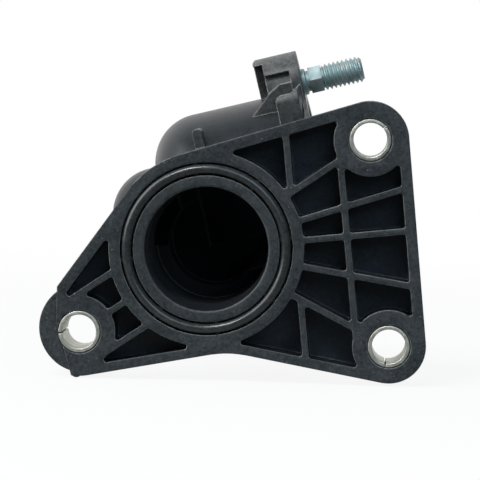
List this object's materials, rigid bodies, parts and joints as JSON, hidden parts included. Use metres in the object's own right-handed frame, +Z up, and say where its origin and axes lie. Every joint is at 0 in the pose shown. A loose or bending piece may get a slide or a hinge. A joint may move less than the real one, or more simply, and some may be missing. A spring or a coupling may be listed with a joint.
{
  "type": "coolant outlet housing",
  "caption": "Moulded black plastic coolant housing with a ribbed bolt flange, face seal, steel bolt sleeves, a domed chamber and a side outlet flange with studs.",
  "frame": {"origin": "on the engine port's axis, at the face of the ribbed flange", "axes": "+Y runs into the housing along the port's axis, +Z is up with the two lower flange lobes level, +X is to the right as seen from the flange's face"},
  "size_m": [0.0856, 0.0542, 0.0735],
  "materials": {
    "moulding": "black glass-filled nylon with a fine matte grain",
    "sleeve_steel": "pale plated rolled steel",
    "seal_rubber": "satin black rubber",
    "stud_zinc": "blue-tinted zinc plating"
  },
  "bodies": {
    "root": {"housing": "moulding", "sleeve_left": "sleeve_steel", "sleeve_upper": "sleeve_steel", "sleeve_lower": "sleeve_steel", "port_seal": "seal_rubber", "stud_upper": "stud_zinc", "stud_lower": "stud_zinc"}
  },
  "joints": []
}
